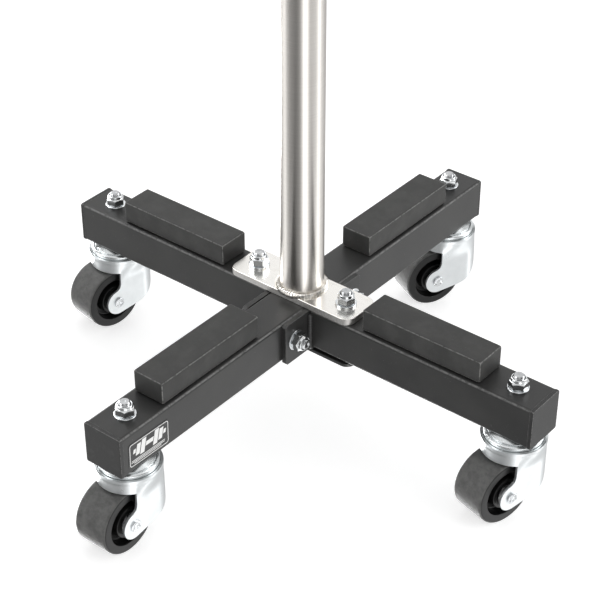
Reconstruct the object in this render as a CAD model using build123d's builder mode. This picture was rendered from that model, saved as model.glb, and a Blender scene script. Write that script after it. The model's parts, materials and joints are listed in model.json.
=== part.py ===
from build123d import *

import os
from math import cos, radians, sin, sqrt

# Weight plate storage trolley: a cross of square tubes on four swivel casters, with a bolted
# foot plate, a round post for the plates' bores and four rubber blocks that carry the stack.
# Millimetres, +Z up. The origin is on the floor under the post's axis. The front arm points
# along -Y, the right arm along +X, the back arm along +Y and the left arm along -X.

os.makedirs("parts", exist_ok=True)

# ---------------------------------------------------------------- driving dimensions
tube = 50.0  # outside width of the square tubes
tube_wall = 3.0
tube_corner = 4.0  # outside corner radius of the tubes
half_span = 320.0  # post axis to the outer face of an end cap
cap_flange = 4.5  # thickness of an end cap outside its tube
cap_edge = 1.5
cap_insert = 16.0  # how far an end cap reaches into its tube
cap_wall = 2.2
cap_play = 0.2  # clearance of a plug inside its tube

post_d = 49.0
post_wall = 3.0
total_height = 1050.0
post_plug = 18.0  # how far the top plug reaches into the post
post_cap_rim = 3.0
post_cap_dome = 3.0

plate_l = 170.0  # foot plate and support plate, along X
plate_overhang = 1.0  # foot plate beyond the tube's sides
plate_t = 8.0
plate_corner = 11.0
plate_edge = 0.8
plate_bolt_x = 61.5
support_t = 4.0
support_inset = 0.5  # support plate inside the tube's sides
flange_w = 133.0
flange_t = 6.0
flange_drop = 0.5  # flange top below the tube top
flange_below = 3.0  # flange bottom below the tube bottom
flange_chamfer = 3.0
cross_bolt_y = 51.0
weld_leg = 4.0  # leg of the beads between tube and flange
weld_slope = 35.0
post_bead = 4.5  # leg of the bead round the post's foot
post_prep = 1.5  # how deep the post's foot is bevelled for its bead

pad_l = 152.0
pad_w = 40.0
pad_h = 26.0
pad_centre = 174.5  # post axis to the middle of a block
pad_corner = 2.0
pad_round = 2.4
pad_undercut = 1.8
bond_t = 1.0
bond_inset = 2.0

label_l = 60.0
label_h = 31.0
label_t = 0.4
label_corner = 4.0
label_y = -279.0
label_below = 29.0  # label's middle below the tube top

# M12 fasteners
bolt_d = 12.0
bolt_hole = 13.0
hex_af = 19.0
head_h = 7.5
nut_hex_h = 8.5
nut_collar_h = 3.5
nut_collar_d = 17.0
nut_collar_round = 1.2
bolt_end = 3.0  # bolt beyond its nut
bolt_end_chamfer = 1.0
washer_d = 24.0
washer_t = 2.5
washer_edge = 0.5
nylon_d = 14.4
nylon_h = 2.4
nylon_lip = 0.4  # rolled lip above the nylon ring

# Casters
caster_reach = 285.0  # post axis to a kingpin
headings = {"front": 0.0, "right": 14.0, "back": 26.0, "left": 10.0}  # degrees from -Y
wheel_d = 75.0
wheel_w = 42.0
trail = 25.0  # kingpin axis to axle
tread_round = 2.5
rim_inner_d = 54.0
hub_d = 38.0
hub_setback = 0.5  # hub's end inside the wheel's side
recess_depth = 12.0
recess_draft = 1.5
bearing_d = 22.0
bearing_l = 8.0
bearing_setback = 2.0
hub_clear = 1.0  # wheel's bore round the sleeve, between the bearings
axle_d = 10.0
sleeve_wall = 1.5
running = 0.05  # radial running clearance of wheel and kingpin
rivet_d = 13.5
rivet_h = 2.0

sheet = 3.0  # thickness of the fork's sheet
leg_gap = 5.0  # wheel's side to a leg's inner face
leg_end_r = 16.0  # rounded end of a leg about the axle
leg_front = 21.0  # kingpin axis to the front edge of a leg
leg_throat_r = 7.0  # hollow between a leg's front edge and its rounded end
leg_heel_r = 22.0
leg_heel_drop = 28.0  # skirt's lower edge to the middle of the heel
fork_back = 34.0  # kingpin axis to the fork's back
fork_back_corner = 12.0
fork_shoulder = 4.0
wheel_gap = 2.0  # wheel to the skirt of the swivel head
head_r = 36.0
head_depth = 26.0  # skirt's lower edge to the tube's underside
floor_rise = 5.0  # skirt's lower edge to the underside of the head's floor
lip_drop = 9.0  # tube's underside to the rolled lip
lip_edge = 1.2
race_gap = 0.8
disc_inset = 3.5  # head's outside to the top disc's edge
disc_flat_inset = 12.0
disc_slope = 6.0
disc_lip = 3.5
disc_t = 3.0
race_outer_inset = 6.0
race_inner_inset = 14.0
ball_d = 7.0
ball_count = 14
kingpin_d = 16.0
kingpin_head_d = 26.0
kingpin_head_t = 3.0
kingpin_head_gap = 0.1

# ---------------------------------------------------------------- worked out from those
skirt_z = wheel_d + wheel_gap
tube_bottom = skirt_z + head_depth
tube_mid = tube_bottom + tube / 2
tube_top = tube_bottom + tube
tube_end = half_span - cap_flange
bore_w = tube - 2 * tube_wall
bore_corner = tube_corner - tube_wall
insert_w = bore_w - 2 * cap_play
arm_start = tube / 2 + flange_t
plate_w = tube + 2 * plate_overhang
plate_top = tube_top + plate_t
flange_bottom = tube_bottom - flange_below
support_bottom = flange_bottom - support_t
post_top = total_height - post_cap_rim - post_cap_dome
nut_h = nut_hex_h + nut_collar_h
nylon_z = nut_h - nylon_lip - nylon_h
axle_z = wheel_d / 2
leg_inner = wheel_w / 2 + leg_gap
leg_outer = leg_inner + sheet
floor_z = skirt_z + floor_rise
lip_z = tube_bottom - lip_drop
disc_r = head_r - disc_inset
disc_flat_r = head_r - disc_flat_inset
race_outer_r = head_r - race_outer_inset
race_inner_r = head_r - race_inner_inset
ball_circle_r = (race_outer_r + race_inner_r) / 2
crown_top = floor_z + sheet
heel_z = skirt_z - leg_heel_drop
ball_z = crown_top + running + ball_d / 2
race_z = ball_z + ball_d / 2 + running
disc_floor = tube_bottom - disc_t
sleeve_r = axle_d / 2 + sleeve_wall
arms = {"front": -90.0, "right": 0.0, "back": 90.0, "left": 180.0}  # heading of each arm


def polar(radius, angle, z=0.0):
    """A point at that radius and height, in the direction of angle."""
    return (radius * cos(radians(angle)), radius * sin(radians(angle)), z)


def write(part, name):
    part.label = name
    export_step(part, f"parts/{name}.step")


def write_copies(pattern, places, name):
    """Writes a node with a copy of the pattern's part at each place."""
    with BuildPart() as group:
        with Locations(*places):
            add(pattern.part)
    write(group.part, name)


def ring(outer_d, inner_d, low, height):
    """Adds a flat ring about the Z axis to the open part."""
    with BuildSketch(Plane.XY.offset(low)) as outline:
        Circle(outer_d / 2)
        Circle(inner_d / 2, mode=Mode.SUBTRACT)
    extrude(outline.sketch, amount=height)


def hexagon(low, high):
    """Starts the open part with a hexagon whose corners are turned off at both ends."""
    corner_r = hex_af / sqrt(3)
    flat_r = hex_af / 2 - washer_edge
    turned = (corner_r - flat_r) / 2
    with BuildSketch(Plane.XY.offset(low)) as outline:
        RegularPolygon(hex_af / 2, 6, major_radius=False)
    extrude(outline.sketch, amount=high - low)
    with BuildSketch(Plane.XZ) as turning:
        with BuildLine():
            Polyline(
                (0, low),
                (flat_r, low),
                (corner_r, low + turned),
                (corner_r, high - turned),
                (flat_r, high),
                (0, high),
                close=True,
            )
        make_face()
    revolve(turning.sketch, axis=Axis.Z, mode=Mode.INTERSECT)


def drill(plane, *points):
    """Bolt holes right through the open part, along the plane's normal."""
    with BuildSketch(plane) as holes:
        with Locations(*points):
            Circle(bolt_hole / 2)
    extrude(holes.sketch, amount=tube, both=True, mode=Mode.SUBTRACT)


def square_tube(plane, start, end):
    """Starts the open part with a square tube along the plane's normal."""
    with BuildSketch(plane.offset(start)) as section:
        RectangleRounded(tube, tube, tube_corner)
        RectangleRounded(bore_w, bore_w, bore_corner, mode=Mode.SUBTRACT)
    extrude(section.sketch, amount=end - start)


# ---------------------------------------------------------------- fastener patterns
# A nut or washer stands on the XY plane; a bolt's head hangs below it, its thread along +Z.

with BuildPart() as nut:
    hexagon(0, nut_hex_h)
    with BuildSketch(Plane.XY.offset(nut_hex_h)):
        Circle(nut_collar_d / 2)
    extrude(amount=nut_collar_h)
    fillet(nut.faces().sort_by(Axis.Z)[-1].edges(), nut_collar_round)
    with BuildSketch():
        Circle(bolt_d / 2)
    extrude(amount=nut_h, mode=Mode.SUBTRACT)
    with BuildSketch(Plane.XY.offset(nylon_z)):
        Circle(nylon_d / 2)
    extrude(amount=nylon_h, mode=Mode.SUBTRACT)

with BuildPart() as nylon_ring:
    ring(nylon_d, bolt_d, nylon_z, nylon_h)

with BuildPart() as washer:
    ring(washer_d, bolt_hole, 0, washer_t)
    chamfer(washer.faces().sort_by(Axis.Z)[-1].outer_wire().edges(), washer_edge)


def threaded_rod(low, high):
    """Adds a rod of thread size, chamfered at its upper end, to the open part."""
    with BuildSketch(Plane.XZ) as half:
        with BuildLine():
            Polyline(
                (0, low),
                (bolt_d / 2, low),
                (bolt_d / 2, high - bolt_end_chamfer),
                (bolt_d / 2 - bolt_end_chamfer, high),
                (0, high),
                close=True,
            )
        make_face()
    revolve(half.sketch, axis=Axis.Z)


# ---------------------------------------------------------------- tubes, flanges and beads
upright = Plane.XY.offset(tube_mid)
along_y = Plane(origin=(0, 0, tube_mid), x_dir=(1, 0, 0), z_dir=(0, 1, 0))
along_x = Plane(origin=(0, 0, tube_mid), x_dir=(0, 1, 0), z_dir=(1, 0, 0))

with BuildPart() as through_tube:
    square_tube(along_y, -tube_end, tube_end)
    drill(upright, (0, caster_reach), (0, -caster_reach))
    drill(along_x, (cross_bolt_y, 0), (-cross_bolt_y, 0))
write(through_tube.part, "through_tube")

for side, name in ((1, "right"), (-1, "left")):
    outward = Plane(origin=(0, 0, tube_mid), x_dir=(0, side, 0), z_dir=(side, 0, 0))

    with BuildPart() as arm_tube:
        square_tube(outward, arm_start, tube_end)
        drill(upright, (side * plate_bolt_x, 0), (side * caster_reach, 0))
    write(arm_tube.part, f"arm_tube_{name}")

    with BuildPart() as flange:
        with BuildSketch(outward.offset(tube / 2)):
            with Locations((0, -(flange_drop + flange_below) / 2)):
                Rectangle(flange_w, tube + flange_below - flange_drop)
        extrude(amount=flange_t)
        chamfer(flange.edges().filter_by(Axis.X), flange_chamfer)
        drill(outward, (cross_bolt_y, 0), (-cross_bolt_y, 0))
    write(flange.part, f"flange_{name}")

    # The bead runs down both sides of the tube and along its underside.
    with BuildPart() as weld:
        with BuildSketch(outward.offset(arm_start)):
            RectangleRounded(tube + 2 * weld_leg, tube + 2 * flange_below, tube_corner)
        extrude(amount=weld_leg, taper=weld_slope)
        with BuildSketch(outward.offset(arm_start)):
            RectangleRounded(tube, tube, tube_corner)
        extrude(amount=weld_leg, mode=Mode.SUBTRACT)
        split(bisect_by=Plane.XY.offset(tube_top - tube_corner), keep=Keep.BOTTOM)
    write(weld.part, f"weld_{name}")

# ---------------------------------------------------------------- foot plate and its support
with BuildPart() as base_plate:
    with BuildSketch(Plane.XY.offset(tube_top)):
        RectangleRounded(plate_l, plate_w, plate_corner)
    extrude(amount=plate_t)
    chamfer(base_plate.faces().sort_by(Axis.Z)[-1].edges(), plate_edge)
    drill(upright, (plate_bolt_x, 0), (-plate_bolt_x, 0))
write(base_plate.part, "base_plate")

with BuildPart() as support_plate:
    with BuildSketch(Plane.XY.offset(support_bottom)):
        RectangleRounded(plate_l, tube - 2 * support_inset, plate_corner)
    extrude(amount=support_t)
    drill(upright, (plate_bolt_x, 0), (-plate_bolt_x, 0))
write(support_plate.part, "support_plate")

with BuildPart() as support_spacers:
    with BuildSketch(Plane.XY.offset(flange_bottom)):
        with Locations((plate_bolt_x, 0), (-plate_bolt_x, 0)):
            Circle(washer_d / 2)
            Circle(bolt_hole / 2, mode=Mode.SUBTRACT)
    extrude(amount=flange_below)
write(support_spacers.part, "support_spacers")

# ---------------------------------------------------------------- post
with BuildPart() as post_tube:
    with BuildSketch(Plane.XZ):
        with BuildLine():
            Polyline(
                (post_d / 2 - post_prep, plate_top),
                (post_d / 2, plate_top + post_bead),
                (post_d / 2, post_top),
                (post_d / 2 - post_wall, post_top),
                (post_d / 2 - post_wall, plate_top),
                close=True,
            )
        make_face()
    revolve(axis=Axis.Z)
write(post_tube.part, "post_tube")

with BuildPart() as post_weld:
    with BuildSketch(Plane.XZ):
        with BuildLine():
            toe = (post_d / 2 + post_bead, plate_top)
            root = (post_d / 2 - post_prep, plate_top)
            crest = (post_d / 2, plate_top + post_bead)
            Polyline(toe, root, crest)
            bulge = post_bead * 0.6
            ThreePointArc(crest, (post_d / 2 + bulge, plate_top + bulge), toe)
        make_face()
    revolve(axis=Axis.Z)
write(post_weld.part, "post_weld")

with BuildPart() as post_cap:
    plug_r = post_d / 2 - post_wall - cap_play
    rim_z = post_top + post_cap_rim
    with BuildSketch(Plane.XZ):
        with BuildLine():
            Polyline(
                (0, rim_z + post_cap_dome),
                (0, rim_z - cap_wall),
                (plug_r - cap_wall, rim_z - cap_wall),
                (plug_r - cap_wall, post_top - post_plug),
                (plug_r, post_top - post_plug),
                (plug_r, post_top),
                (post_d / 2, post_top),
                (post_d / 2, rim_z),
            )
            TangentArc((0, rim_z + post_cap_dome), (post_d / 2, rim_z), tangent=(1, 0))
        make_face()
    revolve(axis=Axis.Z)
write(post_cap.part, "post_cap")

# ---------------------------------------------------------------- end caps, pads and label
for name, angle in arms.items():
    outward = Plane(origin=(0, 0, tube_mid), x_dir=polar(1, angle + 90), z_dir=polar(1, angle))
    with BuildPart() as end_cap:
        with BuildSketch(outward.offset(tube_end)):
            RectangleRounded(tube, tube, tube_corner)
        extrude(amount=cap_flange)
        outer_face = end_cap.faces().sort_by(Axis((0, 0, 0), polar(1, angle)))[-1]
        chamfer(outer_face.edges(), cap_edge)
        with BuildSketch(outward.offset(tube_end - cap_insert)):
            RectangleRounded(insert_w, insert_w, bore_corner)
            Rectangle(insert_w - 2 * cap_wall, insert_w - 2 * cap_wall, mode=Mode.SUBTRACT)
        extrude(amount=cap_insert)
    write(end_cap.part, f"end_cap_{name}")

    on_tube = Plane(origin=polar(pad_centre, angle, tube_top), x_dir=polar(1, angle))
    with BuildPart() as pad:
        with BuildSketch(on_tube.offset(bond_t)):
            RectangleRounded(pad_l, pad_w, pad_corner)
        extrude(amount=pad_h)
        fillet(pad.faces().sort_by(Axis.Z)[-1].edges(), pad_round)
        chamfer(pad.faces().sort_by(Axis.Z)[0].edges(), pad_undercut)
    write(pad.part, f"pad_{name}")

with BuildPart() as bond:
    with BuildSketch():
        Rectangle(pad_l - 2 * pad_undercut - bond_inset, pad_w - 2 * pad_undercut - bond_inset)
    extrude(amount=bond_t)
bond_places = [Location(polar(pad_centre, angle, tube_top), (0, 0, angle)) for angle in arms.values()]
write_copies(bond, bond_places, "pad_bonds")

with BuildPart() as label_plate:
    with BuildSketch(along_x.offset(tube / 2)):
        with Locations((label_y, tube / 2 - label_below)):
            RectangleRounded(label_l, label_h, label_corner)
    extrude(amount=label_t)
write(label_plate.part, "label_plate")

# ---------------------------------------------------------------- bolts, washers and nuts
ends = (1, -1)
flange_face = tube / 2 + flange_t
cross_grip = 2 * flange_face + 2 * washer_t
plate_grip = plate_top - support_bottom + 2 * washer_t

with BuildPart() as cross_bolt:
    hexagon(-head_h, 0)
    threaded_rod(0, cross_grip + nut_h + bolt_end)

with BuildPart() as plate_bolt:
    hexagon(-head_h, 0)
    threaded_rod(0, plate_grip + nut_h + bolt_end)


def on_cross_bolts(x):
    """Places on both cross bolts, with their thread's direction along +X."""
    return [Location(Plane((x, y * cross_bolt_y, tube_mid), (0, 1, 0), (1, 0, 0))) for y in ends]


def on_plate_bolts(z):
    return [Location((x * plate_bolt_x, 0, z)) for x in ends]


def on_casters(z):
    return [Location(polar(caster_reach, angle, z)) for angle in arms.values()]


write_copies(cross_bolt, on_cross_bolts(-flange_face - washer_t), "cross_bolts")
write_copies(
    washer, on_cross_bolts(-flange_face - washer_t) + on_cross_bolts(flange_face), "cross_washers"
)
write_copies(nut, on_cross_bolts(flange_face + washer_t), "cross_nuts")

write_copies(plate_bolt, on_plate_bolts(support_bottom - washer_t), "plate_bolts")
write_copies(
    washer, on_plate_bolts(support_bottom - washer_t) + on_plate_bolts(plate_top), "plate_washers"
)
write_copies(nut, on_plate_bolts(plate_top + washer_t), "plate_nuts")

write_copies(washer, on_casters(tube_top), "caster_washers")
write_copies(nut, on_casters(tube_top + washer_t), "caster_nuts")

write_copies(
    nylon_ring,
    on_cross_bolts(flange_face + washer_t)
    + on_plate_bolts(plate_top + washer_t)
    + on_casters(tube_top + washer_t),
    "nut_inserts",
)

# ---------------------------------------------------------------- caster patterns
# Each pattern stands with its kingpin on the Z axis, its wheel trailing along +X and its axle
# along Y, and is then copied to the end of every arm.
axle_line = Axis((trail, 0, axle_z), (0, 1, 0))
across = Plane(origin=(trail, 0, axle_z), x_dir=(0, 1, 0), z_dir=(1, 0, 0))  # x runs along the axle

with BuildPart() as caster_stem:
    head_top = floor_z - kingpin_head_gap
    stem_top = tube_top + washer_t + nut_h + bolt_end
    with BuildSketch(Plane.XZ):
        with BuildLine():
            Polyline(
                (0, head_top - kingpin_head_t),
                (kingpin_head_d / 2, head_top - kingpin_head_t),
                (kingpin_head_d / 2, head_top),
                (kingpin_d / 2, head_top),
                (kingpin_d / 2, disc_floor),
                (bolt_d / 2, disc_floor),
                (bolt_d / 2, stem_top - bolt_end_chamfer),
                (bolt_d / 2 - bolt_end_chamfer, stem_top),
                (0, stem_top),
                close=True,
            )
        make_face()
    revolve(axis=Axis.Z)

with BuildPart() as top_disc:
    lip_bottom = tube_bottom - disc_slope - disc_lip
    with BuildSketch(Plane.XZ):
        with BuildLine():
            Polyline(
                (bolt_d / 2, tube_bottom),
                (disc_flat_r, tube_bottom),
                (disc_r, tube_bottom - disc_slope),
                (disc_r, lip_bottom),
                (race_outer_r, lip_bottom),
                (race_outer_r, race_z),
                (race_inner_r, race_z),
                (race_inner_r - disc_t, disc_floor),
                (bolt_d / 2, disc_floor),
                close=True,
            )
        make_face()
    revolve(axis=Axis.Z)

with BuildPart() as ball_ring:
    with Locations((0, 0, ball_z)):
        with PolarLocations(ball_circle_r, ball_count):
            Sphere(ball_d / 2)


def fork_plan(inset):
    """Draws the fork from above, that far inside its outer faces, rounded at the back."""
    length = fork_back + trail + leg_end_r + fork_back_corner
    corner = fork_back_corner - inset
    with Locations((inset - fork_back, 0)):
        RectangleRounded(length, 2 * (leg_outer - inset), corner, align=(Align.MIN, Align.CENTER))


with BuildPart() as fork:
    with BuildSketch():
        fork_plan(0)
    extrude(amount=crown_top)
    with BuildSketch(Plane.XZ) as side_view:
        with Locations((trail, axle_z)):
            Circle(leg_end_r)
        with Locations((leg_heel_r - fork_back, heel_z)):
            Circle(leg_heel_r)
        make_hull()
        with Locations((-fork_back, heel_z)):
            Rectangle(fork_back + leg_front, crown_top - heel_z, align=(Align.MIN, Align.MIN))
        front_edge = side_view.vertices().filter_by_position(Axis.X, leg_front - 0.01, leg_front + 0.01)
        fillet(front_edge.sort_by(Axis.Y)[0], leg_throat_r)
    extrude(amount=leg_outer, both=True, mode=Mode.INTERSECT)
    fillet(fork.faces().sort_by(Axis.Z)[-1].edges().sort_by(Axis.X)[:-1], fork_shoulder)
    with BuildSketch():
        fork_plan(sheet)
    extrude(amount=floor_z, mode=Mode.SUBTRACT)
    # The round head: a skirt below the floor and a rolled lip above it, round the ball race.
    with BuildSketch(Plane.XZ) as head_section:
        with BuildLine():
            Polyline(
                (0, floor_z),
                (head_r - sheet, floor_z),
                (head_r - sheet, skirt_z),
                (head_r, skirt_z),
                (head_r, lip_z),
                (disc_r + race_gap, lip_z),
                (disc_r + race_gap, crown_top),
                (0, crown_top),
                close=True,
            )
        make_face()
        fillet(head_section.vertices().group_by(Axis.Y)[-1], lip_edge)
    revolve(axis=Axis.Z)
    with BuildSketch():
        Circle(kingpin_d / 2 + running)
    extrude(amount=tube_bottom, mode=Mode.SUBTRACT)
    with BuildSketch(Plane.XZ):
        with Locations((trail, axle_z)):
            Circle(axle_d / 2)
    extrude(amount=leg_outer, both=True, mode=Mode.SUBTRACT)

with BuildPart() as axle:
    with BuildSketch(across):
        with BuildLine():
            Polyline(
                (-leg_outer - rivet_h, 0),
                (-leg_outer - rivet_h, rivet_d / 2 - rivet_h / 2),
                (-leg_outer - rivet_h / 2, rivet_d / 2),
                (-leg_outer, rivet_d / 2),
                (-leg_outer, axle_d / 2),
                (leg_outer, axle_d / 2),
                (leg_outer, rivet_d / 2),
                (leg_outer + rivet_h / 2, rivet_d / 2),
                (leg_outer + rivet_h, rivet_d / 2 - rivet_h / 2),
                (leg_outer + rivet_h, 0),
                close=True,
            )
        make_face()
    revolve(axis=axle_line)

with BuildPart() as sleeve:
    with BuildSketch(Plane.XZ):
        with Locations((trail, axle_z)):
            Circle(sleeve_r)
            Circle(axle_d / 2, mode=Mode.SUBTRACT)
    extrude(amount=leg_inner, both=True)

with BuildPart() as wheel:
    side = wheel_w / 2
    hub_end = side - hub_setback
    seat = hub_end - bearing_setback - bearing_l
    recess = side - recess_depth
    with BuildSketch(across) as section:
        with BuildLine():
            Polyline(
                (0, sleeve_r + hub_clear),
                (seat, sleeve_r + hub_clear),
                (seat, bearing_d / 2),
                (hub_end, bearing_d / 2),
                (hub_end, hub_d / 2 - recess_draft),
                (recess, hub_d / 2),
                (recess, rim_inner_d / 2 - recess_draft),
                (side, rim_inner_d / 2),
                (side, wheel_d / 2),
                (0, wheel_d / 2),
            )
            mirror(about=Plane.YZ)
        make_face()
        fillet(section.vertices().filter_by(lambda v: v.Y > wheel_d / 2 - 0.01), tread_round)
    revolve(axis=axle_line)

with BuildPart() as bearings:
    with BuildSketch(Plane.XZ):
        with Locations((trail, axle_z)):
            Circle(bearing_d / 2)
            Circle(sleeve_r + running, mode=Mode.SUBTRACT)
    extrude(amount=seat + bearing_l, both=True)
    with BuildSketch(Plane.XZ):
        with Locations((trail, axle_z)):
            Circle(bearing_d / 2)
    extrude(amount=seat, both=True, mode=Mode.SUBTRACT)

# ---------------------------------------------------------------- the four casters
places = {
    name: Location(polar(caster_reach, angle), (0, 0, -90 - headings[name]))
    for name, angle in arms.items()
}
write_copies(caster_stem, places.values(), "caster_stems")
write_copies(ball_ring, places.values(), "swivel_balls")
patterns = {
    "top_disc": top_disc,
    "fork": fork,
    "axle": axle,
    "sleeve": sleeve,
    "wheel": wheel,
    "bearings": bearings,
}
for name, place in places.items():
    for piece, pattern in patterns.items():
        write_copies(pattern, [place], f"{piece}_{name}")
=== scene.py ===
import json
import math

import bmesh
import bpy
from mathutils import Matrix, Vector, noise


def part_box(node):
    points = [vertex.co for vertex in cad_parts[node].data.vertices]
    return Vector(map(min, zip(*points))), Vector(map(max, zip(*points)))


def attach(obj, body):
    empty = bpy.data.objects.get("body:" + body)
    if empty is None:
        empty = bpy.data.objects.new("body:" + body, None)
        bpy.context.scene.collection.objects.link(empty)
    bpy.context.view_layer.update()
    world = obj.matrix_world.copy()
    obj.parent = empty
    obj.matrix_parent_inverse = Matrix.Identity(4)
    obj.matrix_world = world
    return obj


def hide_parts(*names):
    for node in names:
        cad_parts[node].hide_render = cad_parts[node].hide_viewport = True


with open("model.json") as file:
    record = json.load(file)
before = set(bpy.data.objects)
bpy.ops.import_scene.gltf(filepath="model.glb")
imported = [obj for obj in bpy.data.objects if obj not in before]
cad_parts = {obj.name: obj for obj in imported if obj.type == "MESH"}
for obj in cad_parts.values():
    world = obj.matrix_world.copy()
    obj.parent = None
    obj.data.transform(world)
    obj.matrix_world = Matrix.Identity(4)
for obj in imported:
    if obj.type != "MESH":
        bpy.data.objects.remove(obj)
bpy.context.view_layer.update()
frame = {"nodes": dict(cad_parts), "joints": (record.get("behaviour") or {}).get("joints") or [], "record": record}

# Weight plate storage trolley. Sizes below are in metres and come from the frame's own nodes
# where it holds them. MM is for the small ones that only the looks need.
MM = 0.001
ARMS = ("front", "right", "back", "left")
FULL_TURN = 2 * math.pi
CREASE = math.radians(33)  # faces that meet at more than this keep a sharp edge between them
Z_TO_X = Matrix(((0, 0, 1, 0), (1, 0, 0, 0), (0, 1, 0, 0), (0, 0, 0, 1)))  # a side view stood upright

body_of = {n: body for body, nodes in frame["record"]["behaviour"]["bodies"].items() for n in nodes}
joints = {j["name"]: j for j in frame["joints"]}


# ------------ shader maths
class Number:
    """A number in a shader. Arithmetic on it adds Math nodes."""

    def __init__(self, finish, socket):
        self.finish = finish
        self.socket = socket

    def maths(self, operation, *values):
        return self.finish.node("ShaderNodeMath", {"operation": operation}, dict(enumerate(values)))

    def __add__(self, other):
        return self.maths("ADD", self, other)

    def __sub__(self, other):
        return self.maths("SUBTRACT", self, other)

    def __rsub__(self, other):
        return self.maths("SUBTRACT", other, self)

    def __mul__(self, other):
        return self.maths("MULTIPLY", self, other)

    __radd__ = __add__
    __rmul__ = __mul__

    def above(self, low, high):
        """0 up to low, 1 from high on, smooth between."""
        span = {"interpolation_type": "SMOOTHSTEP", "clamp": True}
        return self.finish.node("ShaderNodeMapRange", span, {0: self, 1: low, 2: high})


def fill_ramp(ramp, stops):
    """Gives a colour ramp its stops, each a position and a grey level."""
    ends = (ramp.elements[0], stops[0]), (ramp.elements[1], stops[-1])
    made = [(ramp.elements.new(stop[0]), stop) for stop in stops[1:-1]]
    for element, (position, level) in (*ends, *made):
        element.position = position
        element.color = (level, level, level, 1)


class Nodes:
    """A node tree that nodes are added to."""

    def __init__(self, tree):
        self.tree = tree

    def node(self, kind, settings, values, output=0):
        """Adds a node: its settings first, then the values or links of its sockets."""
        node = self.tree.nodes.new(kind)
        for name, value in settings.items():
            if name == "stops":
                fill_ramp(node.color_ramp, value)
            else:
                setattr(node, name, value)
        for socket, value in values.items():
            if isinstance(value, Number):
                self.tree.links.new(value.socket, node.inputs[socket])
            else:
                node.inputs[socket].default_value = value
        return Number(self, node.outputs[output])


class Finish(Nodes):
    """A surface finish: one material with its shader and the pattern nodes that feed it."""

    def __init__(self, slot, **constants):
        self.slot = slot
        self.material = bpy.data.materials.new(slot)
        self.material.use_nodes = True
        super().__init__(self.material.node_tree)
        self.shader = self.tree.nodes["Principled BSDF"]
        for name, value in constants.items():
            self.shader.inputs[name.replace("_", " ").title().replace("Ior", "IOR")].default_value = value
        self.place = self.node("ShaderNodeTexCoord", {}, {}, "Object")

    def cloud(self, size, detail=2.0, stretch=(1, 1, 1), rough=0.5):
        """Noise with features of about that size in metres, drawn out along each axis by stretch."""
        scale = [1 / (size * s) for s in stretch]
        spot = self.node("ShaderNodeMapping", {}, {0: self.place, 3: scale})
        return self.node("ShaderNodeTexNoise", {}, {0: spot, 2: 1.0, 3: detail, 4: rough})

    def blend(self, mask, first, second):
        colours = {0: mask, 6: (*first, 1) if isinstance(first, tuple) else first, 7: (*second, 1)}
        return self.node("ShaderNodeMix", {"data_type": "RGBA"}, colours, 2)

    def feed(self, **links):
        for name, value in links.items():
            self.tree.links.new(value.socket, self.shader.inputs[name.replace("_", " ").title()])

    def wear_and_edge_highlight(self, size=3 * MM):
        """1 along a piece's rounded edges, broken up by patches of about that size. It lightens those edges:
        partly edge wear, partly a painted highlight.
        """
        edge = self.node("ShaderNodeAttribute", {"attribute_name": "edge"}, {}, 2)
        return edge.above(0.25, 0.9) * self.cloud(size, 4, rough=0.7).above(0.32, 0.62)

    def relief(self, height, depth, strength=1.0):
        """Bumps the surface by height, a number from 0 to 1, times depth in metres."""
        values = {"Strength": strength, "Distance": depth, "Height": height}
        self.feed(normal=self.node("ShaderNodeBump", {}, values))


# ------------ finishes
def grey(level):
    return (level, level, level)


def powder_coat():
    """Satin black powder coat: fine orange peel, faint cloudiness and a few specks of dust."""
    finish = Finish("powder_coat", specular_ior_level=0.5)
    peel = finish.cloud(0.9 * MM, 3)
    drift = finish.cloud(55 * MM, 3)
    dust = finish.cloud(2.2 * MM, 2).above(0.7, 0.78)
    coat = finish.blend(drift.above(0.3, 0.7), grey(0.024), (0.034, 0.034, 0.033))
    # Lightens the rounded edges towards grey: partly edge wear, partly a painted highlight along them.
    coat = finish.blend(finish.wear_and_edge_highlight(6 * MM) * 0.6, coat, (0.22, 0.22, 0.215))
    finish.feed(
        base_color=finish.blend(dust * 0.35, coat, (0.16, 0.16, 0.155)),
        roughness=0.3 + 0.1 * drift + 0.08 * peel,
    )
    finish.relief(peel, 0.05 * MM, 0.5)
    return finish


def coated_bead():
    """The same coat over a weld bead: glossier on the crests, grainy in the valleys."""
    finish = Finish("weld_bead", specular_ior_level=0.55)
    grain = finish.cloud(0.7 * MM, 4)
    finish.feed(
        base_color=finish.blend(grain.above(0.35, 0.7), grey(0.028), (0.05, 0.05, 0.049)),
        roughness=0.3 + 0.25 * grain,
    )
    finish.relief(grain, 0.12 * MM, 0.6)
    return finish


def cap_plastic():
    """Black polyethylene with a fine spark-eroded grain."""
    finish = Finish("cap_plastic", specular_ior_level=0.5)
    grain = finish.cloud(0.5 * MM, 3)
    scuff = finish.cloud(9 * MM, 5, rough=0.65)
    moulded = finish.blend(scuff.above(0.45, 0.75), grey(0.020), (0.040, 0.040, 0.039))
    finish.feed(
        # Lightens the rounded edges towards grey: partly edge wear, partly a painted highlight along them.
        base_color=finish.blend(finish.wear_and_edge_highlight(2 * MM) * 0.7, moulded, (0.26, 0.26, 0.255)),
        roughness=0.36 + 0.16 * scuff,
    )
    finish.relief(grain, 0.06 * MM, 0.6)
    return finish


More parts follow.
